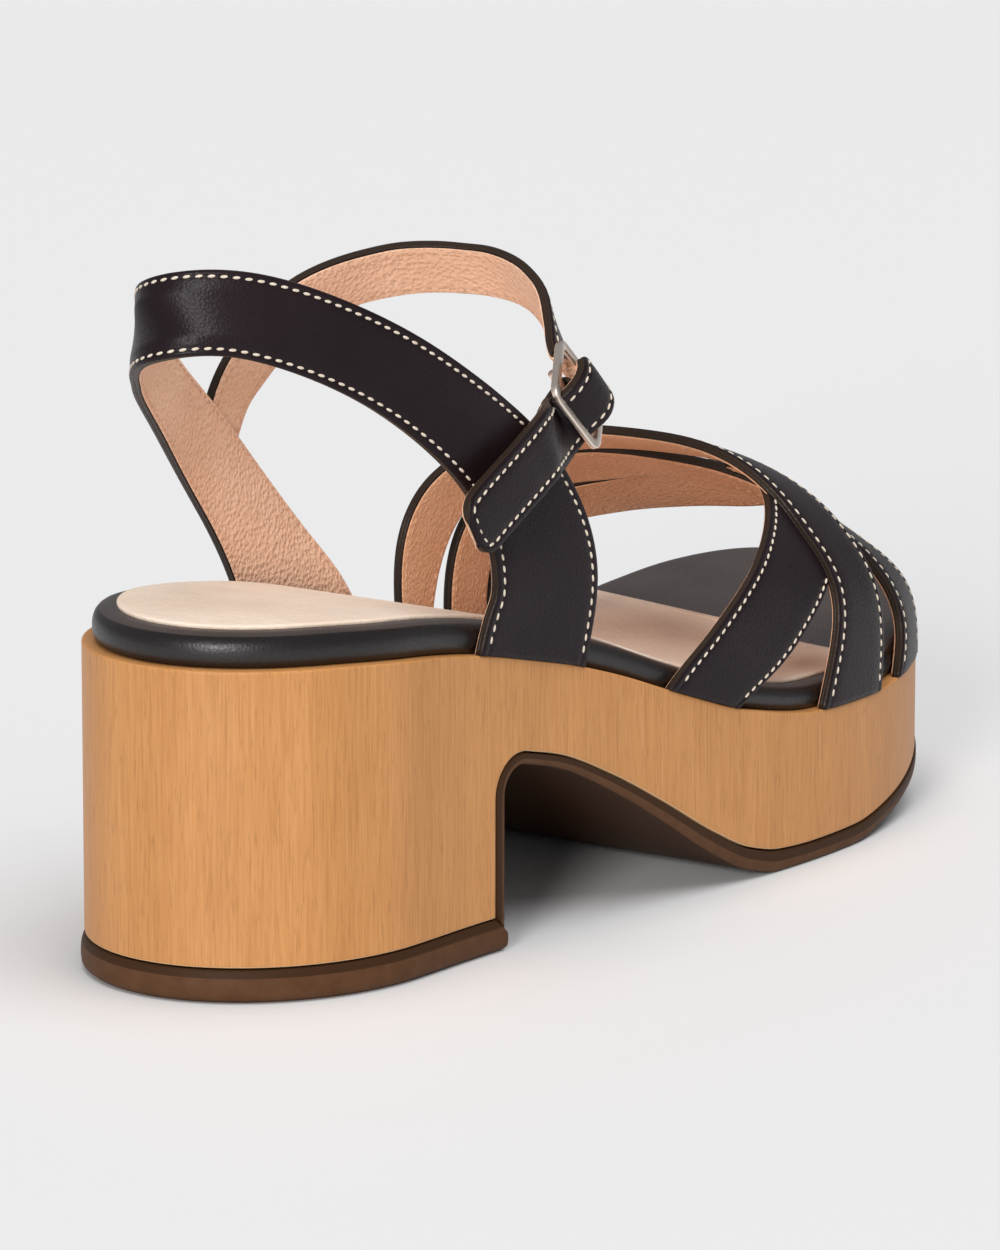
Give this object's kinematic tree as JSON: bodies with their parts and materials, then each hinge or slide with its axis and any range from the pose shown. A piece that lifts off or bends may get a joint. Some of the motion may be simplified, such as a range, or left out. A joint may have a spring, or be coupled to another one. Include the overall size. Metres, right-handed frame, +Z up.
{
  "type": "heeled sandal",
  "caption": "Right-foot sandal with a wooden block-heel platform, rubber tread, leather-covered footbed, crossed leather toe straps, heel loop and buckled ankle strap.",
  "frame": {"origin": "middle of the shoe's footprint, on the floor", "axes": "+Y from the heel to the toe, +X to the outer side of the right foot, +Z up"},
  "size_m": [0.0914, 0.248, 0.1356],
  "materials": {
    "wood": "satin lacquer on honey-coloured wood",
    "lift_rubber": "matte brown",
    "tread_rubber": "matte brown",
    "footbed_leather": "smooth black, soft sheen",
    "sock_leather": "matte pale beige",
    "vamp_leather": "smooth black, pale stitching",
    "quarter_leather": "smooth black, pale stitching",
    "gold_metal": "polished pale gold",
    "tab_leather": "smooth black"
  },
  "bodies": {
    "root": {"wood_base": "wood", "heel_lift": "lift_rubber", "outsole": "tread_rubber", "footbed": "footbed_leather", "sock": "sock_leather", "vamp_straps": "vamp_leather", "quarter_straps": "quarter_leather", "buckle": "gold_metal", "buckle_tab": "tab_leather"}
  },
  "joints": []
}
